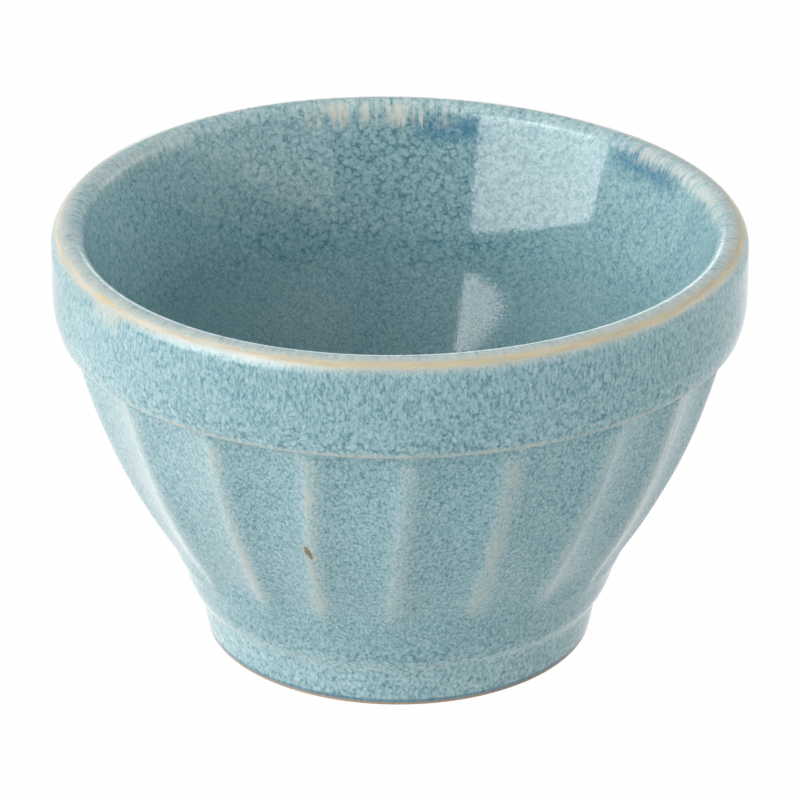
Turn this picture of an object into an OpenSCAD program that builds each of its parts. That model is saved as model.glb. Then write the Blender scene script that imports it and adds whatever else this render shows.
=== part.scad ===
// Prep bowl: a fired stoneware body with its coats of glaze.
// The origin is on the axis, at the level that the foot stands on.
// Outlines are lists of points [radius, height], turned about the axis.

/* [Rim and band] */
// Overall width, across the upper part of the band
rim_d = 120; // [110:1:140]
// Overall height, from the foot to the top of the lip
bowl_h = 76.5; // [70:0.5:90]
// Thickness of the rounded lip
lip_t = 5.8; // [4.8:0.1:7]
// Height of the band, from the top of the lip to its lower edge
band_h = 17.4; // [13:0.1:22]
// How far the band draws in towards its lower edge
band_draw = 0.8; // [0.4:0.1:1.6]

/* [Fluted wall] */
// Number of flutes round the wall
flute_count = 20; // [16:1:26]
// Radius of the hollow of a flute, seen along it
flute_r = 40; // [32:1:60]
// Overhang of the band's lower edge over the floors of the flutes
band_over = 3.1; // [2.6:0.1:4]
// Height of the lower ends of the flutes' floors, above the top of the shoulder
flute_low_h = 1; // [0.6:0.1:3]
// How far the shoulder's top stands out over the lower ends of the flutes' floors
runout_step = 0.7; // [0.5:0.1:1.5]
// Bulge of a flute's floor, out from a straight line between its ends
wall_bulge = 2; // [1.2:0.1:2.6]
// Turn of the wall from the shoulder's run-out into a flute
runout_deg = 20; // [14:1:28]

/* [Shoulder and foot] */
// Width of the foot where it stands
foot_d = 68.2; // [60:0.2:74]
// How far the foot flares out on each side, up to its top
foot_flare = 1.6; // [0.4:0.1:3]
// Height of the foot, up to the shoulder
foot_h = 9.2; // [7:0.1:11]
// How far the shoulder steps out over the top of the foot
shoulder_step = 1.2; // [0.6:0.1:2]
// How far the shoulder flares out on each side, up to where the flutes run out
shoulder_flare = 3; // [2:0.1:5]
// Height of the shoulder, from the foot up to where the flutes run out
shoulder_h = 7.8; // [6:0.1:10]
// Width of the flat ring that the foot stands on
foot_ring_w = 3.2; // [2:0.1:5]
// Depth of the recess under the base
recess_h = 3.6; // [2.4:0.1:5]

/* [Well] */
// Thickness of the wall, square to it, at the lower ends of the flutes
wall_t = 7.8; // [6.6:0.1:8.4]
// Lean of the inside just under the lip
well_top_deg = 23; // [18:1:26]
// Thickness of the floor in the middle
floor_t = 6.9; // [5:0.1:8]
// Radius between the wall and the floor of the well
well_r = 31; // [26:1:34]

/* [Glaze] */
// Thickness of the glaze
glaze_t = 0.5; // [0.3:0.05:0.7]
// Width of the bare ring on the outer corner of the lip
break_w = 1.3; // [0.8:0.1:2]
// Height of the bare clay at the bottom of the foot
bare_h = 0.6; // [0.4:0.1:1.2]

/* [Hidden] */
$fn = 120;
over = 1;                                // overrun of every cut
steps = 8;                               // stretches along each curve of an outline

// Rim and band
rim_r = rim_d / 2;
lip_r = lip_t / 2;
lip_c = [rim_r - lip_r, bowl_h - lip_r]; // centre of the lip's round
under_h = bowl_h - band_h;               // underside of the band
band_lo = [rim_r - band_draw, under_h];
band_hi = [rim_r, lip_c[1]];
band_bend_share = 0.3;                   // place of the band's bend, up from its lower edge
band_mid = [rim_r, under_h + band_bend_share * (lip_c[1] - under_h)];
break_mid_deg = 50;                      // place of the bare ring on the lip, up from level
break_half_deg = break_w / lip_r * 90 / PI;
break_lo_deg = break_mid_deg - break_half_deg;
break_hi_deg = break_mid_deg + break_half_deg;

// Foot and shoulder
foot_r = foot_d / 2;
foot_top = [foot_r + foot_flare, foot_h - shoulder_step];
foot_bare = [foot_r + foot_flare * bare_h / foot_top[1], bare_h];
recess_r = foot_r - foot_ring_w;
recess_round = recess_h / 3;
shoulder = [foot_top[0] + shoulder_step, foot_h];
shoulder_top = shoulder + [shoulder_flare, shoulder_h];
shoulder_bend_shares = [0.62, 0.65];     // place of the shoulder's bend, on the way to its top
shoulder_mid = [for (i = [0, 1]) shoulder[i] + shoulder_bend_shares[i] * (shoulder_top[i] - shoulder[i])];

// Flutes. Each is the path of a ball on an arc about bulge_c, and neighbours meet in a ridge.
flute_lo = shoulder_top + [-runout_step, flute_low_h];
flute_hi = [band_lo[0] - band_over, under_h];
flute_line = flute_hi - flute_lo;
tilt = atan2(flute_line[0], flute_line[1]);
wall_out = [cos(tilt), -sin(tilt)];      // square to the wall, outwards
half_line = norm(flute_line) / 2;
bulge_r = (half_line * half_line + wall_bulge * wall_bulge) / (2 * wall_bulge);
bulge_c = flute_lo + flute_line / 2 - (bulge_r - wall_bulge) * wall_out;
bulge_deg = asin(half_line / bulge_r);
past_deg = 4;                            // how far a ball's path runs past each end of a flute
flute_mid = bulge_c + bulge_r * wall_out;
half_deg = 180 / flute_count;            // from the middle of a flute to its ridges
stock_t = flute_r / 8;                   // stock outside the flutes' floors, for the flutes to cut away
runout_lean_deg = tilt + bulge_deg - runout_deg;

// Well
floor_h = recess_h + floor_t;
well_more_deg = 3.7;
well_deg = tilt + well_more_deg;         // lean of the wall where the well's round begins
well_lo_h = floor_h + well_r * (1 - sin(well_deg));
well_lo = [flute_lo[0] - wall_t / cos(well_deg) + (well_lo_h - flute_lo[1]) * tan(well_deg), well_lo_h];
well_c = [well_lo[0] - well_r * cos(well_deg), floor_h + well_r];
well_hi = lip_c + lip_r * [-cos(well_top_deg), sin(well_top_deg)];
well_pull_share = 0.73;                  // how far the wall keeps its lean at each end
well_pull = well_pull_share * (well_hi[1] - well_lo[1]);

function unit(v) = v / norm(v);
function lean(deg) = [sin(deg), cos(deg)];
function rest(points) = [for (i = [1:len(points) - 1]) points[i]];
function backwards(points) = [for (i = [len(points) - 1:-1:0]) points[i]];
function bend(a, b, c, t) = (1 - t) * (1 - t) * a + 2 * t * (1 - t) * b + t * t * c;
function bend_points(a, b, c) = [for (i = [0:steps]) bend(a, b, c, i / steps)];
function curve(a, b, c, d, t) = (1 - t) * bend(a, b, c, t) + t * bend(b, c, d, t);
function curve_points(a, b, c, d) = [for (i = [0:steps]) curve(a, b, c, d, i / steps)];
function arc_points(c, r, from, to) =
    [for (i = [0:steps]) let (deg = from + (to - from) * i / steps) c + r * [cos(deg), sin(deg)]];

// An outline runs with the clay on its left. It is moved outwards by d, square to itself.
function right_of(a, b) = let (u = unit(b - a)) [u[1], -u[0]];
function mitre(u, v) = (u + v) / (1 + u * v);
function moved(points, d) =
    let (last = len(points) - 1)
    [for (i = [0:last])
        let (before = right_of(points[max(i - 1, 0)], points[max(i, 1)]),
            after = right_of(points[min(i, last - 1)], points[min(i + 1, last)]))
        points[i] + d * mitre(before, after)];

// The outside of the glazed bowl, from the foot's bare edge up to the bare ring on the lip.
// Between the run-out and the band it lies under the flutes, in the core of the wall.
foot_points = [foot_bare, foot_top];
shoulder_points = bend_points(shoulder, shoulder_mid, shoulder_top);
core_points = [
    shoulder_top + stock_t * lean(runout_lean_deg),
    flute_mid - wall_t / 4 * wall_out,
    flute_hi - [wall_t / 4, 0]];
band_points = bend_points(band_lo, band_mid, band_hi);
corner_points = rest(arc_points(lip_c, lip_r, 0, break_lo_deg));
function outside(d) =
    moved(concat(foot_points, shoulder_points, core_points, band_points, corner_points), d);

// The stock that the flutes are cut from. It reaches a little way into the band and the shoulder.
stock_points = [
    shoulder_top - stock_t / 2 * [1, 1],
    flute_mid + stock_t * wall_out,
    [band_lo[0] - band_over / 4, under_h],
    [band_lo[0] - band_over / 4, under_h + over],
    [flute_hi[0] - wall_t / 2, under_h + over],
    flute_mid - wall_t / 2 * wall_out,
    flute_lo - wall_t / 2 * wall_out];
stock_outer = 4;                         // how many of these points lie on its outer side
function stock(d) =
    [for (i = [0:len(stock_points) - 1]) stock_points[i] + (i < stock_outer ? d * wall_out : [0, 0])];

// The inside, from the bare ring over the lip and down to the middle of the floor.
lip_points = arc_points(lip_c, lip_r, break_hi_deg, 180 - well_top_deg);
side_points = rest(curve_points(well_hi, well_hi - well_pull * lean(well_top_deg),
    well_lo + well_pull * lean(well_deg), well_lo));
floor_points = concat(rest(arc_points(well_c, well_r, -well_deg, -90)), [[0, floor_h]]);
function inside(d) = moved(concat(lip_points, side_points, floor_points), d);

// The underside, from the middle of the recess to the foot's bare edge.
recess_points = [
    [0, recess_h],
    [recess_r - recess_round, recess_h],
    [recess_r, recess_h - recess_round],
    [recess_r, bare_h]];
function recess(d) = moved(recess_points, d);

module turned(points) {
    rotate_extrude() polygon(points);
}

// The path of one ball, for a surface that lies d outside the glazed one.
module flute(d) {
    translate([bulge_c[0], 0, bulge_c[1]])
        rotate([90, 0, 0])
            rotate(-tilt - bulge_deg - past_deg)
                rotate_extrude(angle = 2 * (bulge_deg + past_deg))
                    translate([bulge_r + flute_r, 0])
                        circle(r = flute_r - d);
}

// The stock with its first flutes cut, one after another.
module fluted(d, count) {
    if (count == 0)
        turned(stock(d));
    else
        difference() {
            fluted(d, count - 1);
            rotate((2 * count - 1) * half_deg) flute(d);
        }
}

module clay_body() {
    edge = bare_h / 2;
    bare_ring = arc_points(lip_c, lip_r, break_lo_deg, break_hi_deg);
    bare_foot = [[recess_r, bare_h], [recess_r, edge], [recess_r + edge, 0], [foot_r - edge, 0], foot_bare];
    color("tan") {
        turned(concat(outside(-glaze_t), bare_ring, inside(-glaze_t), recess(-glaze_t), bare_foot));
        fluted(-glaze_t, flute_count);
    }
}

module inner_glaze() {
    color("cadetblue")
        turned(concat(inside(0), backwards(inside(-glaze_t))));
}

module outer_glaze() {
    clay = outside(-glaze_t);
    bottom = clay[0];
    top = clay[len(clay) - 1];
    color("mediumturquoise")
        difference() {
            union() {
                turned(concat([[0, bottom[1]], bottom], outside(0), [top, [0, top[1]]]));
                fluted(0, flute_count);
            }
            turned(concat(
                [[0, bottom[1] - over], bottom - [0, over]],
                clay,
                [top + [0, over], [0, top[1] + over]]));
            fluted(-glaze_t, flute_count);
        }
}

module base_glaze() {
    color("cadetblue")
        turned(concat(recess(0), backwards(recess(-glaze_t))));
}

clay_body();
inner_glaze();
outer_glaze();
base_glaze();
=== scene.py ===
"""Prep bowl: the glazed and bare surfaces of a fluted stoneware bowl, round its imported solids.

Lengths in the property groups are in metres. Outlines are lists of points in millimetres, (radius, height),
turned about the bowl's axis, and they run with the clay on their left. A heading is in degrees from the front
and grows to the right. A run is the distance along the surface, in millimetres, from the middle of the lip's
break: it grows down the outside and is below zero on the inside.
"""

import math

import bpy
import numpy as np
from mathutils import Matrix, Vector


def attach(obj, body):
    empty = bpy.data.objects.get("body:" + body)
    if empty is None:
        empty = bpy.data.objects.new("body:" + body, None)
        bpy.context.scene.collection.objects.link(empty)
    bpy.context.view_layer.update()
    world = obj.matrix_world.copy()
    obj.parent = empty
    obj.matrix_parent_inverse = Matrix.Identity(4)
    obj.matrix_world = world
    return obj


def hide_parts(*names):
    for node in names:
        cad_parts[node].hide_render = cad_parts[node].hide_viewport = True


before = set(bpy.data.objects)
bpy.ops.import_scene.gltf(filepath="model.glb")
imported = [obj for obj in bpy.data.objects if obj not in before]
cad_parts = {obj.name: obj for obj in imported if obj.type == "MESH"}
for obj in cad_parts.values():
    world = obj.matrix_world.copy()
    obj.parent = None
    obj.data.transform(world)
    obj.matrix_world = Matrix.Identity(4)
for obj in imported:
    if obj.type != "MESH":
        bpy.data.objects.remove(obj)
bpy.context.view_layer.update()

bl_info = {
    "name": "Prep bowl",
    "version": (1, 0, 0),
    "blender": (4, 5, 0),
    "location": "View3D > Sidebar > Prep bowl",
    "description": "Builds the bowl's glazes, its bare clay and the table it stands on",
    "category": "Add Mesh",
}

MM = 0.001


# Sizes and colours that a user would change


def length(name, description, default):
    return bpy.props.FloatProperty(
        name=name, description=description, default=default, min=0.0,
        subtype="DISTANCE", unit="LENGTH", precision=5,
    )


def colour(name, description, default):
    return bpy.props.FloatVectorProperty(
        name=name, description=description, default=default, size=3, min=0.0, max=1.0, subtype="COLOR"
    )


def amount(name, description, default, top=50.0):
    return bpy.props.FloatProperty(name=name, description=description, default=default, min=0.0, max=top)


class BowlSizes(bpy.types.PropertyGroup):
    glaze: length("Glaze", "Thickness of the glaze over the clay", 0.0005)
    edge_round: length("Edge round", "Radius of the band's lower edge", 0.0007)
    under_fillet: length("Fillet under the band", "Height of the pooled fillet under the band", 0.0011)
    hollow: length("Hollow", "Radius of the hollow of a flute, seen along it", 0.040)
    ridge_soft: length("Ridge softness", "How far the round of a ridge reaches on each side, halved", 0.0006)
    runout_soft: length("Run-out softness", "How softly a flute runs out into the shoulder", 0.0016)
    waviness: length("Waviness", "Unevenness of the hand-finished wall", 0.00014)
    flutes: bpy.props.IntProperty(
        name="Flutes", description="Number of flutes round the wall", default=20, min=8, max=40
    )


class GlazeLook(bpy.types.PropertyGroup):
    pale: colour("Pale glaze", "Where the glaze is thinnest without breaking", (0.575, 0.705, 0.72))
    light: colour("Light glaze", "The middles of the crystals", (0.39, 0.562, 0.588))
    body: colour("Glaze", "The glaze at its usual thickness", (0.252, 0.432, 0.466))
    vein: colour("Veins", "Between the crystals", (0.110, 0.262, 0.308))
    deep: colour("Pooled glaze", "Where the glaze has pooled", (0.026, 0.125, 0.205))
    pool: colour("Blue pools", "The pools under the lip, inside", (0.035, 0.185, 0.30))
    well: colour("Low in the well", "The greyer cast of the glaze low in the well", (0.32, 0.42, 0.43))
    beige: colour("Break", "The glaze where it breaks over the lip's corner", (0.63, 0.56, 0.385))
    # The break at the left: partly its own paler colour and partly a painted highlight
    left_break_and_highlight: colour("Break at the left", "The break where it is nearly white", (0.69, 0.665, 0.60))
    drip_break: colour("Break over the drip", "The break where it is warmest", (0.74, 0.54, 0.24))
    cream: colour("Thin glaze", "The glaze beside a break and over the ridges", (0.60, 0.60, 0.535))
    threads: colour("Threads", "Where the glaze ran off the lip's inner edge", (0.76, 0.74, 0.64))
    clay: colour("Bare clay", "The fired clay of the foot", (0.53, 0.37, 0.25))
    iron: colour("Iron speck", "A speck of iron in the clay", (0.12, 0.085, 0.03))
    crystal: length("Crystal", "Width of a glaze crystal", 0.00070)


class StageLook(bpy.types.PropertyGroup):
    key: amount("Key light", "Brightness of the light from the front left", 2.85)
    left: amount("Left light", "Brightness of the light from the left", 1.65)
    right: amount("Right light", "Brightness of the light from the right", 2.35)
    window: amount("Window", "Brightness of the left window as the glaze mirrors it", 5.0)
    side_windows: amount("Side windows", "Brightness of the right windows as the glaze mirrors them", 1.15)
    back_window: amount("Back window", "Brightness of the window behind as the glaze mirrors it", 2.0)
    table_glow: amount("Table glow", "How much brighter the glaze mirrors the table at the left", 1.3, 10.0)
    sky: amount("Sky", "Brightness of the plain surroundings on the bowl", 0.49, 5.0)
    mirrored_sky: amount("Mirrored sky", "Brightness of the surroundings as the glaze mirrors them", 0.55, 5.0)


def sizes():
    return bpy.context.scene.bowl_sizes


def looks():
    return bpy.context.scene.bowl_glaze


def studio():
    return bpy.context.scene.bowl_stage


# Node trees, written as sums


class Wire:
    """A number in a node tree, that sums can be written with."""

    def __init__(self, net, socket):
        self.net, self.socket = net, socket

    def sum(self, operation, *others):
        return self.net.add("ShaderNodeMath", {"operation": operation}, {0: self, **dict(enumerate(others, 1))})

    def __add__(self, other):
        return self.sum("ADD", other)

    __radd__ = __add__

    def __sub__(self, other):
        return self.sum("SUBTRACT", other)

    def __rsub__(self, other):
        return self.sum("MULTIPLY", -1.0).sum("ADD", other)

    def __mul__(self, other):
        return self.sum("MULTIPLY", other)

    __rmul__ = __mul__

    def __truediv__(self, other):
        return self.sum("DIVIDE", other)

    def __rtruediv__(self, other):
        return self.sum("POWER", -1.0).sum("MULTIPLY", other)

    def __pow__(self, other):
        return self.sum("POWER", other)

    def __abs__(self):
        return self.sum("ABSOLUTE")

    def root(self):
        return self.sum("SQRT")

    def clamped(self):
        return self.net.add("ShaderNodeClamp", {}, {"Value": self})

    def rise(self, low, high):
        """0 up to low, 1 from high on, and a soft step between them. With low above high it falls instead."""
        settings = {"interpolation_type": "SMOOTHSTEP"}
        if low > high:
            return 1.0 - self.rise(high, low)
        return self.net.add("ShaderNodeMapRange", settings, {"Value": self, "From Min": low, "From Max": high})

    def bump(self, middle, core, reach):
        """1 within core of middle, 0 beyond reach of it."""
        return abs(self - middle).rise(reach, core)

    def about_half(self):
        """A noise, moved so that it goes as far below zero as above."""
        return self - 0.5


class Net:
    """A node tree under construction."""

    def __init__(self, tree):
        self.tree = tree

    def add(self, kind, settings=None, inputs=None, out=0):
        node = self.tree.nodes.new(kind)
        for key, value in (settings or {}).items():
            if key == "stops":
                self.stops(node.color_ramp, value)
            else:
                setattr(node, key, value)
        for key, value in (inputs or {}).items():
            socket = node.inputs[key]
            if isinstance(value, Wire):
                self.tree.links.new(value.socket, socket)
            elif value is not None:
                socket.default_value = value
        return Wire(self, node.outputs[out]) if len(node.outputs) else node

    @staticmethod
    def stops(ramp, stops):
        while len(ramp.elements) < len(stops):
            ramp.elements.new(1.0)
        for element, (place, tone) in zip(ramp.elements, stops):
            element.position = place
            element.color = (*tone, 1.0)

    def vector(self, operation, a, b=None, scale=None):
        inputs = {0: a, "Scale": scale} if operation == "SCALE" else {0: a, 1: b}
        return self.add("ShaderNodeVectorMath", {"operation": operation}, inputs)

    def joined(self, x, y, z):
        return self.add("ShaderNodeCombineXYZ", {}, {0: x, 1: y, 2: z})

    def parts(self, vector):
        node = self.add("ShaderNodeSeparateXYZ", {}, {0: vector}).socket.node
        return [Wire(self, s) for s in node.outputs]

    def mix(self, share, a, b):
        a, b = ((*v, 1.0) if isinstance(v, tuple) and len(v) == 3 else v for v in (a, b))
        return self.add("ShaderNodeMix", {"data_type": "RGBA"}, {0: share, 6: a, 7: b}, out=2)

    def noise(self, at, scale, detail=2.0, rough=0.5, out=0):
        inputs = {"Vector": at, "Scale": scale, "Detail": detail, "Roughness": rough}
        return self.add("ShaderNodeTexNoise", {}, inputs, out)

    def attribute(self, name):
        return self.add("ShaderNodeAttribute", {"attribute_name": name}, {}, out="Fac")


# Outlines


def arc(centre, radius, start, end, step):
    """Points on an arc, between two angles in degrees, at most step degrees apart."""
    count = max(2, math.ceil(abs(end - start) / step))
    turns = [math.radians(start + (end - start) * i / count) for i in range(count + 1)]
    return [(centre[0] + radius * math.cos(t), centre[1] + radius * math.sin(t)) for t in turns]


def flowing(points, step):
    """A smooth line through the points, with a point every step millimetres or so."""
    pts = [np.array(p, float) for p in points]
    pts = [2 * pts[0] - pts[1], *pts, 2 * pts[-1] - pts[-2]]
    line = []
    for a, b, c, d in zip(pts, pts[1:], pts[2:], pts[3:]):
        count = max(1, round(np.linalg.norm(c - b) / step))
        square, cube = 2 * a - 5 * b + 4 * c - d, 3 * b - 3 * c + d - a
        for t in np.arange(count) / count:
            line.append(0.5 * (2 * b + (c - a) * t + square * t * t + cube * t**3))
    return [tuple(p) for p in [*line, pts[-2]]]


def straight(a, b, step):
    count = max(1, round(math.dist(a, b) / step))
    return [tuple(np.add(a, np.subtract(b, a) * i / count)) for i in range(count + 1)]


def set_in(line, depth):
    """The line moved by depth to its left, into the clay."""
    if not depth:
        return line
    pts = np.array(line, float)
    ahead = np.gradient(pts, axis=0)
    ahead /= np.linalg.norm(ahead, axis=1)[:, None]
    return [tuple(p) for p in pts + depth * np.stack([-ahead[:, 1], ahead[:, 0]], axis=1)]


def runs(line, start):
    """Distance along the line, in millimetres, counted from start at its first point."""
    steps = [math.dist(a, b) for a, b in zip(line, line[1:])]
    return start + np.concatenate([[0.0], np.cumsum(steps)])


# The rim's radius, the bowl's height, and the round of the lip
RIM, TOP = 60.0, 76.5
LIP = 2.9
LIP_CENTRE = (RIM - LIP, TOP - LIP)
# The ring on the lip where the clay shows between its two coats: its edges and middle, in degrees up from level
BREAK_LOW, BREAK_MIDDLE, BREAK_HIGH = 37.0, 50.0, 63.0
# The height of the band's underside, and the radius of its lower edge
UNDER, BAND_LOW = 59.1, 59.2
# The foot's bare edge, and the core of the wall that the flutes run out on: where it begins, and its slope
FOOT_BARE = (34.22, 0.6)
RUNOUT_FOOT, RUNOUT_SLOPE = (39.9, 17.0), 0.21
FOOT_LINE = [
    FOOT_BARE, (34.52, 2.0), (34.85, 4.0), (35.2, 6.0), (35.62, 7.4), (36.2, 8.4), (36.9, 9.3),
    (37.48, 10.5), (38.05, 12.0), (38.7, 14.0), (39.3, 15.6), RUNOUT_FOOT,
]
BAND_LINE = [(59.2, 59.8), (59.5, 60.8), (59.78, 62.1), (59.93, 63.8), (59.99, 66.6), (RIM, 73.6)]
RECESS_LINE = [(0.0, 3.6), (15.0, 3.6), (29.7, 3.6), (30.55, 3.25), (30.9, 2.4), (30.9, 0.6)]
# The bare ring that the bowl stands on
RING_LINE = [
    (30.9, 0.6), (30.9, 0.3), (30.98, 0.1), (31.2, 0.0), (32.5, 0.0), (33.8, 0.0), (34.02, 0.1), (34.14, 0.3),
    FOOT_BARE,
]

# The floor of a flute: its two ends, and its bulge out from a straight line between them
FLUTE_LOW, FLUTE_HIGH, BULGE = np.array([39.2, 18.0]), np.array([56.1, UNDER]), 2.0
CHORD = FLUTE_HIGH - FLUTE_LOW
TILT = math.degrees(math.atan2(CHORD[0], CHORD[1]))
FLOOR_ARC = (np.dot(CHORD, CHORD) / 4 + BULGE**2) / (2 * BULGE)
OUTWARDS = np.array([CHORD[1], -CHORD[0]]) / np.linalg.norm(CHORD)
FLOOR_ARC_CENTRE = (FLUTE_LOW + FLUTE_HIGH) / 2 - (FLOOR_ARC - BULGE) * OUTWARDS
# A depth square to the leaning wall, as it measures along the radius
LEVEL_DEPTH = 1.08

# The well: the lean of its wall at the top and at the bottom, and how far the wall keeps each
WELL_LEAN, WELL_LEAN_LOW, WELL_KEEPS = 23.0, TILT + 3.7, 0.73
# The thickness of its wall low down, the radius of its round, and the height of its floor
WALL, WELL_ROUND, WELL_FLOOR = 7.8, 31.0, 10.5

# How far apart the rows of points stand, in millimetres: where they show, and on the clay that the glaze hides
WALL_STEP, WALL_HIDDEN_STEP = 0.80, 3.4
WELL_STEP, WELL_HIDDEN_STEP = 0.8, 3.2
RECESS_STEP, RECESS_HIDDEN_STEP = 2.0, 4.0
# The same in degrees: round the lip, on the lip's hidden clay and its bare ring, and round the band's lower edge
LIP_STEP, LIP_HIDDEN_STEP, BREAK_STEP, EDGE_STEP = 3, 9, 2, 12
# How many rows make the fillet under the band
FILLET_ROWS = 7
# How many points stand round each surface
WALL_COLUMNS, COLUMNS, RECESS_COLUMNS = 520, 480, 240


def lean(degrees):
    return np.array([math.sin(math.radians(degrees)), math.cos(math.radians(degrees))])


def lip_arc(start, end, depth):
    return arc(LIP_CENTRE, LIP, start, end, LIP_HIDDEN_STEP if depth else LIP_STEP)


def well_line(step):
    """The inside, from under the lip down to the middle of the floor."""
    slope = lean(WELL_LEAN_LOW)
    low = np.array([0.0, WELL_FLOOR + WELL_ROUND * (1 - slope[0])])
    low[0] = FLUTE_LOW[0] - WALL / slope[1] + (low[1] - FLUTE_LOW[1]) * slope[0] / slope[1]
    top_lean = math.radians(WELL_LEAN)
    high = np.add(LIP_CENTRE, LIP * np.array([-math.cos(top_lean), math.sin(top_lean)]))
    tall = high[1] - low[1]
    pull = WELL_KEEPS * tall
    ends = [high, high - pull * lean(WELL_LEAN), low + pull * slope, low]
    side = []
    for t in np.linspace(0, 1, round(tall * 1.1 / step)):
        weights = ((1 - t)**3, 3 * t * (1 - t)**2, 3 * t * t * (1 - t), t**3)
        side.append(tuple(sum(w * e for w, e in zip(weights, ends))))
    centre = (low[0] - WELL_ROUND * slope[1], WELL_FLOOR + WELL_ROUND)
    floor = arc(centre, WELL_ROUND, -WELL_LEAN_LOW, -90, math.degrees(step / WELL_ROUND))[1:]
    return side + floor + [(centre[0] / 2, WELL_FLOOR), (0.0, WELL_FLOOR)]


class Row:
    """One ring of a turned surface.

    Edge is its radius without the flutes, and core is the radius of the wall that the flutes run out on. Share is
    how far the flutes shape it, and depth is how far it is set in from the glaze's surface.
    """

    def __init__(self, edge, height, core=None, share=0.0, depth=0.0, run=0.0):
        self.edge, self.height, self.share, self.depth, self.run = edge, height, share, depth, run
        self.core = edge if core is None else core

    @property
    def radius(self):
        return self.edge * (1 - self.share) + self.core * self.share


def outer_rows(depth, step):
    """The outside, from the foot's bare edge up to the break on the lip, set in by depth."""
    s = sizes()
    edge_round, fillet = s.edge_round / MM, s.under_fillet / MM
    wall_top = UNDER - fillet
    wall_end = (RUNOUT_FOOT[0] + RUNOUT_SLOPE * (wall_top - RUNOUT_FOOT[1]), wall_top)
    wall = flowing(FOOT_LINE, step * 0.7) + straight(RUNOUT_FOOT, wall_end, step)[1:]
    level_depth = depth * LEVEL_DEPTH
    rows = [Row(r, z, share=1.0, depth=level_depth) for r, z in set_in(wall, depth)]
    edge = BAND_LOW - edge_round
    for turn in np.linspace(0, 90, FILLET_ROWS + 1)[1:]:
        share, rise = math.cos(math.radians(turn)), math.sin(math.radians(turn))
        z = wall_top + fillet * rise + depth * rise
        rows.append(Row(edge, z, core=wall[-1][0], share=share, depth=level_depth))
    corner = arc((edge, UNDER + edge_round), edge_round, -90, 0, EDGE_STEP)[1:]
    band = flowing(BAND_LINE, step * 0.8)[1:]
    lip = lip_arc(0, BREAK_LOW, depth)[1:]
    return rows + [Row(r, z) for r, z in set_in(corner + band + lip, depth)]


def numbered(rows, last):
    """Gives each row its run, so that the last one has the run asked for. Runs grow down the outside."""
    along = runs([(row.radius, row.height) for row in rows], 0.0)
    for row, run in zip(rows, along):
        row.run = last + along[-1] - run
    return rows


def band_edge_run(rows):
    """The mean run of the rows on the band's lower edge."""
    edge = [r.run for r in rows if not r.share and r.height < UNDER + 0.8 and r.edge > BAND_LOW - 0.5]
    return sum(edge) / len(edge)


def break_run(degrees):
    """The run of a place on the lip, below the middle of the break."""
    return math.radians(BREAK_MIDDLE - degrees) * LIP


def well_rows(depth, step):
    """The inside, from the break over the lip and down to the middle of the floor."""
    line = lip_arc(BREAK_HIGH, 180 - WELL_LEAN, depth) + well_line(step)[1:]
    along = runs(line, -break_run(BREAK_HIGH))
    line = set_in(line, depth)
    line[-1] = (0.0, line[-1][1])
    return [Row(r, z, run=-a) for (r, z), a in zip(line, along)]


def recess_rows(depth, step):
    """The recess under the foot, from its middle out and down to the ring."""
    flat, corner = flowing(RECESS_LINE[:2], step), flowing(RECESS_LINE[2:5], step * 0.3)
    line = flat + [RECESS_LINE[2]] + corner[1:] + [RECESS_LINE[5]]
    if depth:
        line = set_in(line, depth)
        line[0] = (0.0, RECESS_LINE[0][1] + depth)
        line[-1] = (line[-1][0], RECESS_LINE[-1][1])
    return [Row(r, z) for r, z in line]


# Where the ridges really stand: for each heading, how far the ridge is off it, in degrees, low and high on the wall
RIDGE_DRIFT = {
    -162: (-0.7, -0.2), -144: (1.0, 0.4), -126: (0.6, 1.0), -108: (-0.8, 0.2), -90: (0.4, -0.3),
    -72: (0.0, 0.0), -54: (2.0, 2.0), -36: (3.0, 3.0), -18: (-0.1, 2.9), 0: (-1.3, 1.6), 18: (-0.4, 1.0),
    36: (-1.0, 3.0), 54: (0.4, 0.6), 72: (-1.0, -0.6), 90: (0.0, 0.0), 108: (0.8, 0.2), 126: (-0.9, -0.4),
    144: (0.5, 1.2), 162: (1.1, 0.3),
}
DRIFT_LOW, DRIFT_HIGH = 24.0, 54.0


def even_turn(turn, height):
    """The turn, in degrees, at which a point would stand if all the ridges stood evenly."""
    even = np.array([-180, *RIDGE_DRIFT, 180], float)
    drift = np.array([(0.0, 0.0), *RIDGE_DRIFT.values(), (0.0, 0.0)])
    share = np.clip((height - DRIFT_LOW) / (DRIFT_HIGH - DRIFT_LOW), 0, 1)
    return np.interp(turn, even + drift[:, 0] + share * (drift[:, 1] - drift[:, 0]), even)


# How the rim warped in the kiln, in millimetres: a tilt, here down to the right, and a twist of its two halves
RIM_TILT, RIM_TWIST = -0.28, 0.49
# How much narrower it drew at its two sides, as a share, and how far the foot slid to the left, in metres
RIM_DRAW, FOOT_SLIDE = 0.006, 0.00025


def warped(co):
    """Points co, in metres, after the small warp that the bowl took in the kiln. It dies out towards the foot."""
    x, y, z = co.T
    up = np.clip(z / (TOP * MM), 0, 1)
    heading = np.arctan2(x, -y)
    metres_out = np.hypot(x, y) / RIM
    lift = (RIM_TILT * np.sin(heading) + RIM_TWIST * np.sin(2 * heading)) * metres_out * up**2
    narrow = 1 - RIM_DRAW * up**10 * np.clip(np.abs(x) / (RIM * MM), 0, 1)**2
    return np.stack([x * narrow - FOOT_SLIDE * (1 - up)**2, y, z + lift], axis=1)


# Meshes


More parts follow.
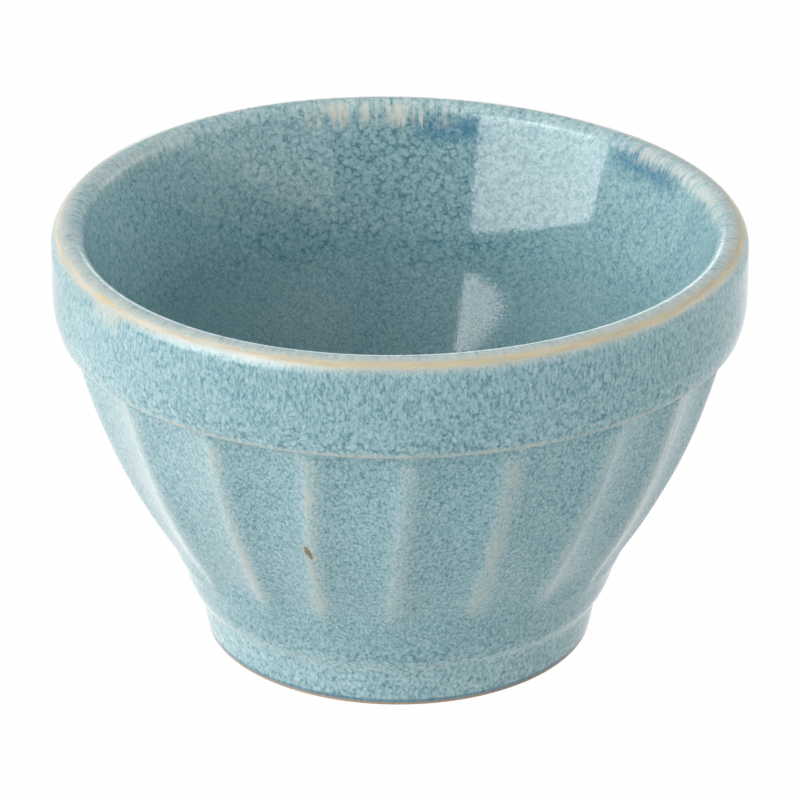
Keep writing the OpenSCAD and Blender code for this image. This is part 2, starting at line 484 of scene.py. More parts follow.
def turned(name, rows, columns, material):
    """A closed mesh: the rows turned about the axis, the last one joined to the first."""
    turns = np.linspace(-180, 180, columns, endpoint=False)
    sin, cos = np.sin(np.radians(turns)), np.cos(np.radians(turns))
    verts, faces, starts = [], [], []
    fields = {key: [] for key in ("run", "turn", "core", "edge", "share", "depth")}
    count = 0
    for row in rows:
        pole = row.radius < 1e-6
        n = 1 if pole else columns
        starts.append((count, pole))
        count += n
        verts.append(np.stack([row.radius * sin[:n], -row.radius * cos[:n], np.full(n, row.height)], axis=1))
        fields["turn"].append(even_turn(turns[:n], row.height))
        for key in ("run", "core", "edge", "share", "depth"):
            fields[key].append(np.full(n, getattr(row, key)))
    for (a, a_pole), (b, b_pole) in zip(starts, starts[1:] + starts[:1]):
        if a_pole and b_pole:
            continue
        for i in range(columns):
            j = (i + 1) % columns
            if a_pole:
                faces.append((a, b + j, b + i))
            elif b_pole:
                faces.append((a + i, a + j, b))
            else:
                faces.append((a + i, a + j, b + j, b + i))
    mesh = bpy.data.meshes.new(name)
    mesh.from_pydata((np.concatenate(verts) * MM).tolist(), [], faces)
    for key, values in fields.items():
        layer = mesh.attributes.new(key, "FLOAT", "POINT")
        scale = MM if key in ("core", "edge", "depth") else 1.0
        layer.data.foreach_set("value", (np.concatenate(values) * scale).astype(np.float32))
    mesh.materials.append(material)
    piece = bpy.data.objects.new(name, mesh)
    bpy.context.scene.collection.objects.link(piece)
    return piece


# The width of the waves in the hand-finished wall, as the scale of a noise on metres
WAVES = 85.0


def flute_tree():
    """The rule of the fluted wall, as a geometry node tree: each flute is the path of a ball on an arc."""
    old = bpy.data.node_groups.get("flutes_by_rule")
    if old:
        return old
    tree = bpy.data.node_groups.new("flutes_by_rule", "GeometryNodeTree")
    face = tree.interface
    face.new_socket("Geometry", in_out="INPUT", socket_type="NodeSocketGeometry")
    for name in ("Flutes", "Hollow Radius", "Arc Radius", "Arc Centre Out", "Arc Centre Up", "Ridge Softness",
                 "Run-out Softness", "Waviness"):
        face.new_socket(name, in_out="INPUT", socket_type="NodeSocketFloat")
    face.new_socket("Material", in_out="INPUT", socket_type="NodeSocketMaterial")
    face.new_socket("Geometry", in_out="OUTPUT", socket_type="NodeSocketGeometry")
    net = Net(tree)
    group = net.add("NodeGroupInput").socket.node
    given = {s.name: Wire(net, s) for s in group.outputs if s.name}
    hollow, floor_arc, centre_out = given["Hollow Radius"], given["Arc Radius"], given["Arc Centre Out"]

    def field(name):
        return net.add("GeometryNodeInputNamedAttribute", {"data_type": "FLOAT"}, {"Name": name})

    # Where the point is in its flute: the floor's radius at its height, and how far it is from the ridge
    place = net.add("GeometryNodeInputPosition")
    x, y, z = net.parts(place)
    radius = (x * x + y * y).root().sum("MAXIMUM", 1e-6)
    half = math.pi / given["Flutes"]
    turn = field("turn") * (math.pi / 180)
    off = turn.sum("WRAP", half * 2.0, 0.0) - half
    rise = z - given["Arc Centre Up"]
    floor = (floor_arc ** 2.0 - rise * rise).root() + centre_out
    gap = (half - abs(off)) * floor

    # The ball's surface, closed in on in three rounds, with the ridge made soft
    soft = given["Ridge Softness"]
    along = (half * floor - gap).sum("SMOOTH_MIN", half * floor - soft, soft)
    wall = floor
    for _ in range(3):
        angle = along / floor
        across = wall * angle.sum("SINE")
        dip = hollow - (hollow ** 2.0 - across * across).root()
        reach = ((floor_arc + dip) ** 2.0 - rise * rise).root() + centre_out
        wall = reach / angle.sum("COSINE")
    uneven = net.noise(place, WAVES, 1.0).about_half() * given["Waviness"] * 2.0
    wall = wall + uneven - field("depth")
    wall = wall.sum("SMOOTH_MAX", field("core"), given["Run-out Softness"])
    share = field("share")
    final = wall * share + field("edge") * (1.0 - share)
    grow = final / radius
    shown = net.joined(x * grow, y * grow, z)
    moved = net.add("GeometryNodeSetPosition", {}, {"Geometry": given["Geometry"], "Position": shown})
    marked = net.add(
        "GeometryNodeStoreNamedAttribute", {"data_type": "FLOAT", "domain": "POINT"},
        {"Geometry": moved, "Name": "ridge_gap", "Value": gap / MM},
    )
    real = net.add("GeometryNodeRealizeInstances", {}, {"Geometry": marked})
    painted = net.add("GeometryNodeSetMaterial", {}, {"Geometry": real, "Material": given["Material"]})
    net.add("NodeGroupOutput", {}, {"Geometry": painted})
    return tree


def fluted(piece, material):
    """The piece with its flutes cut, as a plain mesh."""
    tree, s = flute_tree(), sizes()
    values = {
        "Flutes": float(s.flutes), "Hollow Radius": s.hollow, "Arc Radius": float(FLOOR_ARC) * MM,
        "Arc Centre Out": float(FLOOR_ARC_CENTRE[0]) * MM, "Arc Centre Up": float(FLOOR_ARC_CENTRE[1]) * MM,
        "Ridge Softness": s.ridge_soft, "Run-out Softness": s.runout_soft, "Waviness": s.waviness,
        "Material": material,
    }
    change = piece.modifiers.new("flutes", "NODES")
    change.node_group = tree
    for item in tree.interface.items_tree:
        if item.in_out == "INPUT" and item.name in values:
            change[item.identifier] = values[item.name]
    bpy.context.view_layer.update()
    shape = piece.evaluated_get(bpy.context.evaluated_depsgraph_get())
    mesh = bpy.data.meshes.new_from_object(shape)
    piece.modifiers.remove(change)
    piece.data = mesh
    return piece


# An edge that turns by more than this many degrees stays sharp.
SHARP = 50


def finished(piece, node):
    """Warps the piece as the kiln did, smooths it and puts it in the frame."""
    mesh = piece.data
    co = np.empty(len(mesh.vertices) * 3, np.float32)
    mesh.vertices.foreach_get("co", co)
    mesh.vertices.foreach_set("co", warped(co.reshape(-1, 3)).astype(np.float32).ravel())
    mesh.shade_smooth()
    mesh.set_sharp_from_angle(angle=math.radians(SHARP))
    for name in ("core", "edge", "share", "depth"):
        layer = mesh.attributes.get(name)
        if layer:
            mesh.attributes.remove(layer)
    mesh.update()
    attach(piece, "root")
    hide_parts(node)
    return piece


# Materials. In the glaze's noises and masks, widths and heights are in millimetres.

# Where the glaze has pooled under the lip, inside: heading, height, and reach across and up
POOLS = ((170.0, 72.0, 10.0, 3.8), (125.0, 73.2, 13.0, 3.6))
# Where the glaze ran off the lip's inner edge in streaks: heading and its reach, the middle's run, reach, strength
STREAKS = ((184.5, 17.0, -5.4, 3.6, 1.0), (112.0, 24.0, -4.4, 2.6, 0.7), (238.0, 22.0, -4.6, 2.6, 0.4))
# Ridges that hardly show: heading, and how much of the break is missing
FAINT_RIDGES = ((0.5, 0.6), (38.0, 0.5), (-52.0, 0.6), (-71.0, 0.7))
# The heading inside where the crystals grew largest, and the one where the lip's inner edge stayed smooth
FAR_SIDE, SMOOTH_EDGE = 184.0, 12.0
# The heading where a drip of thin glaze hangs from the lip's break, at the left
DRIP = -54.0
# The place of the iron speck on the wall
SPECK = (-15.2, -48.0, 36.5)

# How dark the glaze is at its plainest, from 0, pale, to 1, pooled
WELL_TONE, WALL_TONE = 0.39, 0.375
# How much the veins, the grain, the finer grain and the slow clouds change that
VEIN_TONE, WELL_GRAIN, WALL_GRAIN, FINE_TONE, CLOUD_TONE = 0.23, 0.50, 0.56, 0.42, 0.14
# The same for the blotches: at the least, and more where the crystals grew large
BLOTCH_LEAST, BLOTCH_GROWN = 0.06, 0.30
# Where the colours of the glaze stand on that scale
TONE_STOPS = (0.0, 0.25, 0.45, 0.68, 0.98)

# How much wider the large crystals are than the small ones
LARGE_IN_WELL, LARGE_ON_WALL = 2.2, 1.5
# How the crystals are drawn out down the outside, and by how much more above a height on the band
DRAWN, DRAWN_MORE, DRAWN_FROM = 0.68, 0.28, 67.0
# Where the crystals grew large: heights up the well and down the foot, and the place and reach on the band
GROWN_UP_WELL, GROWN_DOWN_FOOT, GROWN_ON_BAND = (38.0, 60.0), (18.0, 9.0), (61.5, 0.8, 5.0)
# The radii at which the threads round the lip and the dashes on the ridges are measured
THREAD_RADIUS, DASH_RADIUS = 58.0, 40.0

# The runs between which the glaze gets thin under the break, outside, and over the lip's edge, inside
THIN_OUTSIDE, THIN_INSIDE = (4.5, 1.2), (-6.2, -4.4)
# The heights between which the ridges come in over the shoulder and go out under the band
RIDGES_IN, RIDGES_OUT = (18.0, 24.0), (58.2, 55.6)
# The heights between which the foot gets paler, and the left of the well less glossy
PALER_FOOT, DULLER_WELL = (11.5, 8.0), (54.0, 49.0)

# The roughness of the plain glaze and how uneven it is, and the index of glass
ROUGH, ROUGH_GRAIN, GLASS_INDEX = 0.035, 0.03, 1.5
# The depth of the relief of the glaze and of the bare clay, in metres
GLAZE_RELIEF, SAND_RELIEF = 0.000007, 0.00008


def new_material(name):
    material = bpy.data.materials.new(name)
    material.use_nodes = True
    material.node_tree.nodes.clear()
    return material, Net(material.node_tree)


def closed_off(net, base, roughness, height, reach):
    """The surface shader at the end of a material."""
    normal = net.add("ShaderNodeBump", {}, {"Height": height, "Strength": 1.0, "Distance": reach})
    shader = net.add(
        "ShaderNodeBsdfPrincipled", {},
        {"Base Color": base, "Roughness": roughness, "Normal": normal, "IOR": GLASS_INDEX},
    )
    net.add("ShaderNodeOutputMaterial", {}, {"Surface": shader})


def veins(net, at, width, apart):
    """Dark veins round crystals of one width: soft short strokes, with darker dots among them."""
    shifted = net.vector("ADD", at, (apart, 2.3 * apart, -1.7 * apart))
    edge = net.add(
        "ShaderNodeTexVoronoi", {"feature": "DISTANCE_TO_EDGE"}, {"Vector": shifted, "Scale": 1 / width}
    )
    broken = net.noise(shifted, 1.3 / width, 2.0)
    strokes = edge.rise(0.28, 0.0) * broken.rise(0.34, 0.60)
    dots = edge.rise(0.16, 0.0) * broken.rise(0.55, 0.68)
    return strokes + dots * 0.5


def glaze_place(net):
    """Where a point is: in millimetres, its height, and its heading as the two parts of a level arrow."""
    place = net.add("ShaderNodeTexCoord", {}, {}, out="Object")
    mm = net.vector("SCALE", place, scale=1 / MM)
    arrow = net.vector("NORMALIZE", net.vector("MULTIPLY", mm, (1.0, 1.0, 0.0)))
    return mm, net.parts(mm)[2], net.parts(arrow)[:2]


def round_about(heading, degrees, reach):
    """1 at the heading given in degrees from the front, and 0 beyond reach degrees of it."""
    hx, hy = heading
    facing = hx * math.sin(math.radians(degrees)) - hy * math.cos(math.radians(degrees))
    return facing.rise(math.cos(math.radians(reach)), 1.0)


def round_noise(net, heading, radius, up, scale, detail, rough=0.5):
    """A noise on the headings at one radius and on up, so that it runs straight down the bowl."""
    hx, hy = heading
    return net.noise(net.joined(hx * radius, hy * radius, up), scale, detail, rough)


def lip_break(net, run, heading):
    """How far the glaze has run off the lip's corner: the bare core, its soft edge, and the strands beside it."""
    strand = round_noise(net, heading, THREAD_RADIUS, run * 0.22, 1.25, 3.0, 0.55)
    slow = round_noise(net, heading, THREAD_RADIUS, run * 0.06, 0.11, 2.0)
    along = round_noise(net, heading, THREAD_RADIUS, run * 9.0, 0.16, 3.0, 0.65)
    at = run + strand.about_half() * 0.9 + slow.about_half() * 0.9
    narrow = 1.0 + heading[0].rise(-0.25, -0.70) * 0.45
    core = (abs(at - 0.02) * narrow).rise(1.1, 0.18) * (0.5 + along * 1.0).clamped()
    soft = at.bump(-0.35, 0.8, 2.5)
    return core, soft, strand, along


def broken_glass(net, along, heading, grain):
    """The colour of the bare core: tan, with paler threads along it, and nearly white at the left, partly its own
    paler colour and partly a painted highlight.
    """
    look = looks()
    threads = along.rise(0.42, 0.64) * 0.55 + grain.about_half() * 0.8
    dark_tan, light_tan = tuple(0.93 * c for c in look.beige), tuple(min(1.0, 1.16 * c) for c in look.beige)
    tan = net.mix(threads.clamped(), dark_tan, light_tan)
    # Nearly white at the left, where the light comes from: partly the break's own paler colour and partly a painted
    # highlight
    left = heading[0].rise(-0.15, -0.42) * along.rise(0.3, 0.6) * 0.7
    tan_and_highlight = net.mix(left, tan, tuple(look.left_break_and_highlight))
    return net.mix(round_about(heading, DRIP - 2.0, 3.5) * 0.6, tan_and_highlight, tuple(look.drip_break))


class Glaze:
    """A reactive glaze under construction: where each point is, and the crystals, the grain and the break there."""

    def __init__(self, net, inside):
        self.net, self.inside, self.look = net, inside, looks()
        self.mm, self.z, self.heading = glaze_place(net)
        self.run = net.attribute("run")
        self.core, self.soft, self.strand, self.along = lip_break(net, self.run, self.heading)

        push = net.vector("SUBTRACT", net.noise(self.mm, 1.5, 2.0, out="Color"), (0.5, 0.5, 0.5))
        pushed = net.vector("ADD", self.mm, net.vector("SCALE", push, scale=0.6))
        if not inside:
            px, py, pz = net.parts(pushed)
            pushed = net.joined(px, py, pz * DRAWN - (pz - DRAWN_FROM).sum("MAXIMUM", 0.0) * DRAWN_MORE)
        self.grain = net.noise(pushed, 1.9, 2.0, 0.6)
        self.fine = net.noise(pushed, 4.6, 1.0)
        self.blotch = net.noise(pushed, 0.95, 1.0)
        self.cloud = net.noise(self.mm, 0.05, 2.0)

        # The crystals grew larger where the glaze has pooled: high inside, over the band's edge and on the foot.
        z, width = self.z, self.look.crystal / MM
        small = veins(net, pushed, width, 0.0)
        large = veins(net, pushed, width * (LARGE_IN_WELL if inside else LARGE_ON_WALL), 7.0)
        if inside:
            self.grown = z.rise(*GROWN_UP_WELL)
        else:
            self.grown = (z.bump(*GROWN_ON_BAND) + z.rise(*GROWN_DOWN_FOOT)).clamped()
        self.veins = small * (1.0 - self.grown * 0.8) + large * (0.2 + self.grown * 0.8)
        if inside:
            self.veins = self.veins * (0.55 + round_about(self.heading, FAR_SIDE, 46.0) * 0.45)

    def plain_tone(self):
        """How dark the crystals, the veins and the grain make the glaze, from the lightest to the pooled one."""
        grain = self.grain.about_half() * (WELL_GRAIN if self.inside else WALL_GRAIN)
        tone = self.veins * VEIN_TONE + grain + self.fine.about_half() * FINE_TONE
        tone = tone + self.cloud.about_half() * CLOUD_TONE
        return tone + self.blotch.about_half() * (self.grown * BLOTCH_GROWN + BLOTCH_LEAST)

    def coloured(self, tone):
        look = self.look
        colours = (tuple(c) for c in (look.pale, look.light, look.body, look.vein, look.deep))
        return self.net.add("ShaderNodeValToRGB", {"stops": list(zip(TONE_STOPS, colours))}, {0: tone})

    def broken_on_lip(self, base):
        base = self.net.mix(self.soft * (0.30 + self.strand * 0.52), base, tuple(self.look.cream))
        return self.net.mix(self.core, base, broken_glass(self.net, self.along, self.heading, self.grain))

    def roughness(self):
        """Glossy, and softer on the break and on the thin glaze just below it."""
        rough = ROUGH + self.grain.about_half() * ROUGH_GRAIN
        return rough + self.core * 0.12 + self.run.bump(1.6, 1.0, 3.2) * 0.26

    def finish(self, base, rough):
        closed_off(self.net, base, rough, self.grain * 0.5 - self.veins * 0.5, GLAZE_RELIEF)


def well_glaze(name):
    """The glaze inside and over the lip: darker low down, with blue pools and pale threads under the lip."""
    material, net = new_material(name)
    glaze = Glaze(net, inside=True)
    look, run, z, heading, strand = glaze.look, glaze.run, glaze.z, glaze.heading, glaze.strand

    # Darker low down, and a little paler at the right: that paler right is painted light, where the lamps at the
    # left fall on the inner wall facing them
    tone = glaze.plain_tone() + WELL_TONE + (1.0 - glaze.grown) * 0.085 - heading[0].rise(0.35, 0.8) * 0.02
    over_lip = run.rise(*THIN_INSIDE)
    tone = tone - over_lip * (0.20 + strand.about_half() * 0.75)
    uneven_height = z + strand.about_half() * 3.0
    pools = sum(
        round_about(heading, degrees, reach) * uneven_height.bump(height, 0.4, tall)
        for degrees, height, reach, tall in POOLS
    )
    base = glaze.coloured(tone + pools * 0.10)
    base = net.mix((1.0 - glaze.grown) * 0.22, base, tuple(look.well))
    base = net.mix((pools * (0.20 + glaze.blotch * 1.0)).clamped() * 0.75, base, tuple(look.pool))
    base = glaze.broken_on_lip(base)

    thread = round_noise(net, heading, THREAD_RADIUS, run * 0.10, 0.95, 2.0)
    uneven_run = run + strand.about_half() * 5.5
    streaks = sum(
        uneven_run.bump(middle, 0.4, tall) * ((round_about(heading, degrees, reach) * 1.8).clamped() * full)
        for degrees, reach, middle, tall, full in STREAKS
    )
    streaks = (streaks * thread.rise(0.36, 0.62)).clamped()
    base = net.mix(streaks * 0.80, base, tuple(look.threads))

    # Softer gloss low at the left, and on the lip's inner edge except at the front
    rough = glaze.roughness() + z.rise(*DULLER_WELL) * heading[0].rise(0.05, -0.20) * 0.26
    rough = rough + over_lip * (1.0 - round_about(heading, SMOOTH_EDGE, 40.0) * 0.8) * 0.16
    glaze.finish(base, rough)
    return material


def wall_glaze(name, edge_run):
    """The glaze outside, thin over the ridges and the band's lower edge, which is edge_run down from the lip."""
    material, net = new_material(name)
    glaze = Glaze(net, inside=False)
    look, run, z, heading, strand = glaze.look, glaze.run, glaze.z, glaze.heading, glaze.strand
    cream, vein_tone, grain = tuple(look.cream), tuple(look.vein), glaze.grain.about_half()
    thin = tuple(0.62 * a + 0.30 * b for a, b in zip(cream, look.beige))

    tone = glaze.plain_tone() + WALL_TONE - z.rise(*PALER_FOOT) * 0.10
    tone = tone - run.rise(*THIN_OUTSIDE) * (0.05 + strand.about_half() * 0.45)
    base = glaze.broken_on_lip(glaze.coloured(tone))

    # The ridges: a pale halo, broken dashes of thin glaze along each, and a darker line of painted shade beside it
    gap = net.attribute("ridge_gap")
    wall = z.rise(*RIDGES_IN) * z.rise(*RIDGES_OUT)
    dash = round_noise(net, heading, DASH_RADIUS, z * 0.45, 0.34, 3.0, 0.6)
    ridge = (gap + grain * 2.6).rise(2.0, 0.0) * wall * (0.2 + dash.rise(0.34, 0.64) * 0.8)
    for degrees, missing in FAINT_RIDGES:
        ridge = ridge * (1.0 - (round_about(heading, degrees, 9.0) * 3.0).clamped() * missing)
    base = net.mix((gap + grain * 3.0).rise(3.6, 0.6) * wall * 0.22, base, tuple(look.pale))
    base = net.mix(ridge * 0.50, base, thin)
    # Painted shade in the hollow beside each ridge
    beside = gap.bump(2.6, 0.5, 1.8) * wall * (0.4 + dash.about_half())
    base = net.mix(beside * 0.20, base, vein_tone)

    # The band's lower edge, with a line of painted shade under it, then the drip at the left and the pool over the
    # bare foot
    edge = (run + strand.about_half() * 0.8).bump(edge_run + 0.05, 0.35, 1.05)
    base = net.mix(edge * (0.55 + dash.about_half() * 2.0).clamped() * 0.68, base, thin)
    # Painted shade under the band's lower edge
    base = net.mix((run - edge_run).bump(1.25, 0.2, 0.7) * 0.3, base, vein_tone)
    drip = round_about(heading, DRIP, 5.0) * (run + strand.about_half() * 4.0).rise(5.2, 1.2)
    base = net.mix(drip * 0.65, base, cream)
    base = net.mix(z.bump(0.9, 0.2, 0.6) * 0.6, base, tuple(look.deep))

    # The iron speck, with a beige edge
    sx, sy, sz = net.parts(net.vector("SUBTRACT", glaze.mm, SPECK))
    spot = ((sx * 1.3 + sz * 0.4) ** 2.0 + (sy * 0.5) ** 2.0 + (sz * 0.6) ** 2.0).root() + grain * 1.6
    base = net.mix(spot.rise(1.5, 0.8) * 0.5, base, tuple(look.beige))
    base = net.mix(spot.rise(1.0, 0.62) * 0.9, base, tuple(look.iron))

    glaze.finish(base, glaze.roughness() + gap.rise(2.4, 0.6) * wall * 0.16)
    return material


def bare_clay(name):
    """Fired clay: beige glass on the lip's corner, sandy and matt under the foot."""
    look = looks()
    material, net = new_material(name)
    mm, z, heading = glaze_place(net)
    core, soft, _, along = lip_break(net, net.attribute("run"), heading)
    grain = net.noise(mm, 1.9, 2.0, 0.6)
    sand = net.noise(mm, 3.0, 3.0, 0.6)
    lip = net.mix(soft * 0.62, tuple(look.light), tuple(look.cream))
    lip = net.mix(core, lip, broken_glass(net, along, heading, grain))
    foot = net.mix(sand.rise(0.35, 0.7), tuple(look.clay), tuple(0.8 * c for c in look.clay))
    high = z.rise(20.0, 60.0)
    closed_off(net, net.mix(high, foot, lip), 0.75 - high * 0.5, sand, SAND_RELIEF)
    return material


# Operators


class BOWL_OT_clay(bpy.types.Operator):
    """Makes the fired clay body, which shows on the lip's corner and under the foot"""

    bl_idname = "bowl.clay"
    bl_label = "Clay body"

    def execute(self, context):
        depth = sizes().glaze / MM
        lip = arc(LIP_CENTRE, LIP, BREAK_LOW, BREAK_HIGH, BREAK_STEP)
        rows = outer_rows(depth, WALL_HIDDEN_STEP)
        rows += [Row(r, z, run=run) for (r, z), run in zip(lip, -runs(lip, -break_run(BREAK_LOW)))]
        rows += well_rows(depth, WELL_HIDDEN_STEP) + recess_rows(depth, RECESS_HIDDEN_STEP)
        rows += [Row(r, z) for r, z in RING_LINE]
        material = bare_clay("bare_clay")
        piece = turned("clay_bowl", rows, COLUMNS, material)
        finished(fluted(piece, material), "clay_body")
        return {"FINISHED"}


class BOWL_OT_wall_glaze(bpy.types.Operator):
    """Makes the glaze on the band, the fluted wall, the shoulder and the foot"""

    bl_idname = "bowl.wall_glaze"
    bl_label = "Wall glaze"

    def execute(self, context):
        rows = numbered(outer_rows(0.0, WALL_STEP), break_run(BREAK_LOW))
        back = outer_rows(sizes().glaze / MM, WALL_HIDDEN_STEP)[::-1]
        material = wall_glaze("wall_glaze", band_edge_run(rows))
        piece = turned("wall_glaze_coat", rows + back, WALL_COLUMNS, material)
        finished(fluted(piece, material), "outer_glaze")
        return {"FINISHED"}


class BOWL_OT_well_glaze(bpy.types.Operator):
    """Makes the glaze over the lip and down the inside"""

    bl_idname = "bowl.well_glaze"
    bl_label = "Well glaze"

    def execute(self, context):
        rows = well_rows(0.0, WELL_STEP)
        back = well_rows(sizes().glaze / MM, WELL_HIDDEN_STEP)[::-1]
        piece = turned("well_glaze_coat", rows + back, COLUMNS, well_glaze("well_glaze"))
        finished(piece, "inner_glaze")
        return {"FINISHED"}


class BOWL_OT_base_glaze(bpy.types.Operator):
    """Makes the glaze in the recess under the foot"""

    bl_idname = "bowl.base_glaze"
    bl_label = "Base glaze"

    def execute(self, context):
        rows = recess_rows(0.0, RECESS_STEP)
        back = recess_rows(sizes().glaze / MM, RECESS_HIDDEN_STEP)[::-1]
        piece = turned("base_glaze_coat", rows + back, RECESS_COLUMNS, well_glaze("base_glaze"))
        finished(piece, "base_glaze")
        return {"FINISHED"}


# The table: half its width, its level just under the foot, how pale it is, and the share of it that stays matt
# to the camera and takes the bowl's shadow
TABLE_HALF, TABLE_LEVEL, TABLE_PALE, TABLE_SHADOW = 3.0, -0.00002, 0.8, 0.01
# The middle of the painted pool of light on the table, set where the left window would light it most, and its reach
PAINTED_TABLE_GLOW, PAINTED_GLOW_REACH = (-0.19, -0.05, 0.0), 0.20
# A painted shadow: how much dimmer the glaze mirrors the strip of table close beside the bowl, at the right, and
# how far out in metres the strip's middle is, its core and its reach
TABLE_PAINTED_SHADOW, PAINTED_SHADOW_STRIP = 0.13, (0.055, 0.02, 0.055)

# How far off the lamps stand, and the height that their elevations are seen from
LAMP_DISTANCE, EYE = 1.4, 0.055
# The upper part of the left window: how far off it stands, and how much brightness it adds, as a share
WINDOW_TOP_DISTANCE, WINDOW_TOP_SHARE = 1.35, 0.26

# The camera stands where the photograph was taken from.
CAMERA_PLACE, CAMERA_AIM = (0.0, -0.6790, 0.36156), (0.0, 0.0, 0.04196)
CAMERA_LENS, CAMERA_SENSOR = 193.0, 36.0

WHITE = (1.0, 1.0, 1.0, 1.0)


def aimed(thing, place, aim):
    thing.location = place
    thing.rotation_euler = (Vector(aim) - Vector(place)).to_track_quat("-Z", "Y").to_euler()


def window(name, azimuths, elevations, radiance, lit, distance=LAMP_DISTANCE, slant=0.0):
    """An upright lamp seen from the bowl between two azimuths and two elevations, in degrees.

    Azimuth 0 is the camera's side, and it grows to the right. Lit is what the lamp shows on: matt or gloss.
    A slant, in degrees, turns it in its own plane, so that it is lower at its far end.
    """
    middle, half = (math.radians(sum(azimuths) / 2), math.radians((azimuths[1] - azimuths[0]) / 2))
    low, high = (EYE + distance * math.tan(math.radians(e)) for e in elevations)
    data = bpy.data.lights.new(name, "AREA")
    data.shape = "RECTANGLE"
    data.size, data.size_y = 2 * distance * math.tan(half), high - low
    data.energy = radiance * math.pi * data.size * data.size_y
    thing = bpy.data.objects.new(name, data)
    bpy.context.scene.collection.objects.link(thing)
    place = Vector((distance * math.sin(middle), -distance * math.cos(middle), (low + high) / 2))
    aimed(thing, place, (0.0, 0.0, place.z))
    thing.rotation_euler.rotate_axis("Z", -math.radians(slant))
    thing.visible_camera = False
    thing.visible_diffuse, thing.visible_glossy = lit == "matt", lit == "gloss"


def ray_kinds(net):
    """Two switches: 1 where the camera sees this, straight or through glass, and 1 where a glaze mirrors it."""
    rays = net.add("ShaderNodeLightPath").socket.node
    names = ("Is Camera Ray", "Is Glossy Ray", "Is Transmission Ray")
    camera, glossy, through = (Wire(net, rays.outputs[name]) for name in names)
    return (camera + through).clamped(), glossy


def set_camera(scene):
    data = bpy.data.cameras.new("camera")
    data.lens, data.sensor_width = CAMERA_LENS, CAMERA_SENSOR
    camera = bpy.data.objects.new("camera", data)
    scene.collection.objects.link(camera)
    aimed(camera, CAMERA_PLACE, CAMERA_AIM)
    bpy.context.scene.camera = camera


def set_surroundings(scene, light):
    """A world that is white to the camera, and dimmer on the bowl and in its glaze."""
    world = bpy.data.worlds.new("surroundings")
    scene.world = world
    world.use_nodes = True
    world.node_tree.nodes.clear()
    net = Net(world.node_tree)
    seen, mirrored = ray_kinds(net)
    strength = light.sky + seen * (1.0 - light.sky) + mirrored * (light.mirrored_sky - light.sky)
    around = net.add("ShaderNodeBackground", {}, {"Color": WHITE, "Strength": strength})
    net.add("ShaderNodeOutputWorld", {}, {"Surface": around})


def set_table(scene, light):
    """A matt table, white to the camera but for the bowl's shadow, and white in the glaze but for a painted pool of
    light at the left and a painted shadow in the strip beside the bowl at the right.
    """
    half, level = TABLE_HALF, TABLE_LEVEL
    corners = [(-half, -half, level), (half, -half, level), (half, half, level), (-half, half, level)]
    mesh = bpy.data.meshes.new("table")
    mesh.from_pydata(corners, [], [(0, 1, 2, 3)])
    table = bpy.data.objects.new("table", mesh)
    scene.collection.objects.link(table)
    material, net = new_material("white_table")
    seen, mirrored = ray_kinds(net)
    matt = net.add("ShaderNodeBsdfDiffuse", {}, {"Color": (TABLE_PALE, TABLE_PALE, TABLE_PALE, 1.0)})
    # As the glaze mirrors it, the table has a painted pool of light at the left and a painted shadow in the strip
    # beside the bowl
    place = net.add("ShaderNodeTexCoord", {}, {}, out="Object")
    off = net.vector("SUBTRACT", place, PAINTED_TABLE_GLOW)
    away = net.add("ShaderNodeVectorMath", {"operation": "LENGTH"}, {0: off}, out="Value")
    # Painted shadow of the bowl on the strip of table beside it
    beside = net.parts(place)[0].bump(*PAINTED_SHADOW_STRIP) * TABLE_PAINTED_SHADOW
    shine = 1.0 + mirrored * (away.rise(PAINTED_GLOW_REACH, 0.0) * light.table_glow - beside)
    glow = net.add("ShaderNodeEmission", {}, {"Color": WHITE, "Strength": shine})
    share = (seen + mirrored).clamped() * (1.0 - TABLE_SHADOW)
    both = net.add("ShaderNodeMixShader", {}, {0: share, 1: matt, 2: glow})
    net.add("ShaderNodeOutputMaterial", {}, {"Surface": both})
    mesh.materials.append(material)


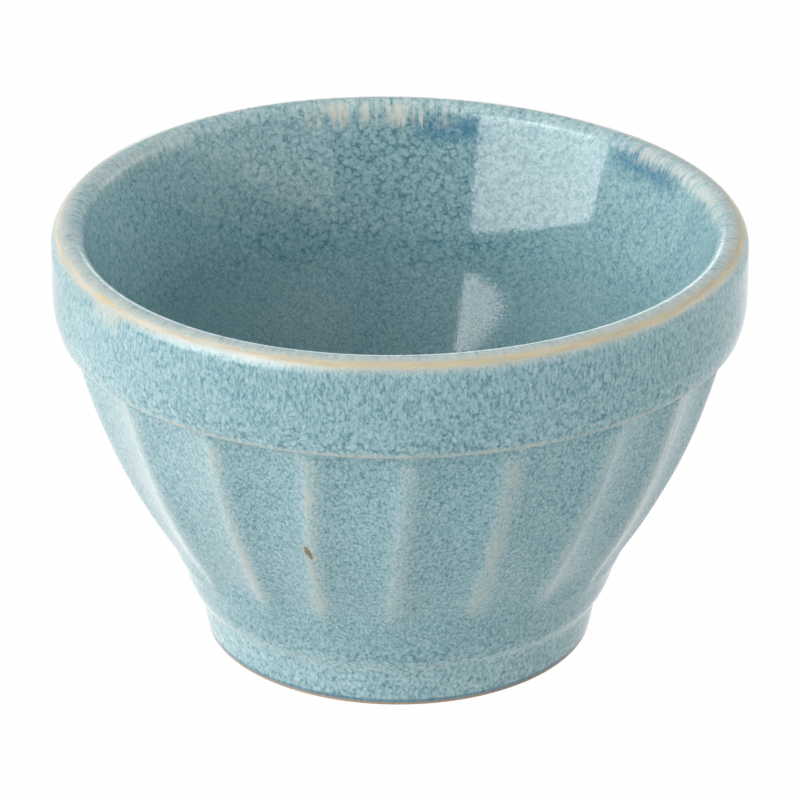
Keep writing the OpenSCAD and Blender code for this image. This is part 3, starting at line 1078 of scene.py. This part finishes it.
class BOWL_OT_stage(bpy.types.Operator):
    """Sets the table, the surroundings, the lamps and the camera"""

    bl_idname = "bowl.stage"
    bl_label = "Stage"

    def execute(self, context):
        scene, light = context.scene, studio()
        scene.view_settings.view_transform = "Standard"
        set_camera(scene)
        set_surroundings(scene, light)
        set_table(scene, light)

        window("key_light", (-75, -30), (0, 50), light.key, "matt")
        window("left_light", (-122, -75), (4, 56), light.left, "matt")
        window("right_light", (40, 145), (3, 16), light.right, "matt")
        window("key_window", (-84, -30), (0, 44), light.window, "gloss")
        top_brightness = light.window * WINDOW_TOP_SHARE
        window("key_window_top", (-84, -30), (26, 44), top_brightness, "gloss", WINDOW_TOP_DISTANCE)
        window("side_window", (28, 65), (15.7, 32), light.side_windows, "gloss")
        window("far_side_window", (65, 135), (10.8, 34), light.side_windows, "gloss", slant=14.0)
        window("back_window", (172, 191), (0, 12), light.back_window, "gloss")
        return {"FINISHED"}


class BOWL_PT_panel(bpy.types.Panel):
    """Lists the bowl's pieces and its sizes and colours"""

    bl_label = "Prep bowl"
    bl_idname = "BOWL_PT_panel"
    bl_space_type = "VIEW_3D"
    bl_region_type = "UI"
    bl_category = "Prep bowl"

    def draw(self, context):
        for operator in OPERATORS:
            self.layout.operator(operator.bl_idname)
        for name in GROUPS:
            group = getattr(context.scene, name)
            box = self.layout.box()
            for key in group.bl_rna.properties.keys():
                if key not in ("rna_type", "name"):
                    box.prop(group, key)


GROUPS = {"bowl_sizes": BowlSizes, "bowl_glaze": GlazeLook, "bowl_stage": StageLook}
OPERATORS = (BOWL_OT_clay, BOWL_OT_wall_glaze, BOWL_OT_well_glaze, BOWL_OT_base_glaze, BOWL_OT_stage)


def register():
    for cls in (*GROUPS.values(), *OPERATORS, BOWL_PT_panel):
        bpy.utils.register_class(cls)
    for name, group in GROUPS.items():
        setattr(bpy.types.Scene, name, bpy.props.PointerProperty(type=group))


def unregister():
    for name in GROUPS:
        delattr(bpy.types.Scene, name)
    for cls in reversed((*GROUPS.values(), *OPERATORS, BOWL_PT_panel)):
        bpy.utils.unregister_class(cls)


def main():
    register()
    bpy.ops.bowl.clay()
    bpy.ops.bowl.wall_glaze()
    bpy.ops.bowl.well_glaze()
    bpy.ops.bowl.base_glaze()
    bpy.ops.bowl.stage()


if __name__ == "__main__":
    main()
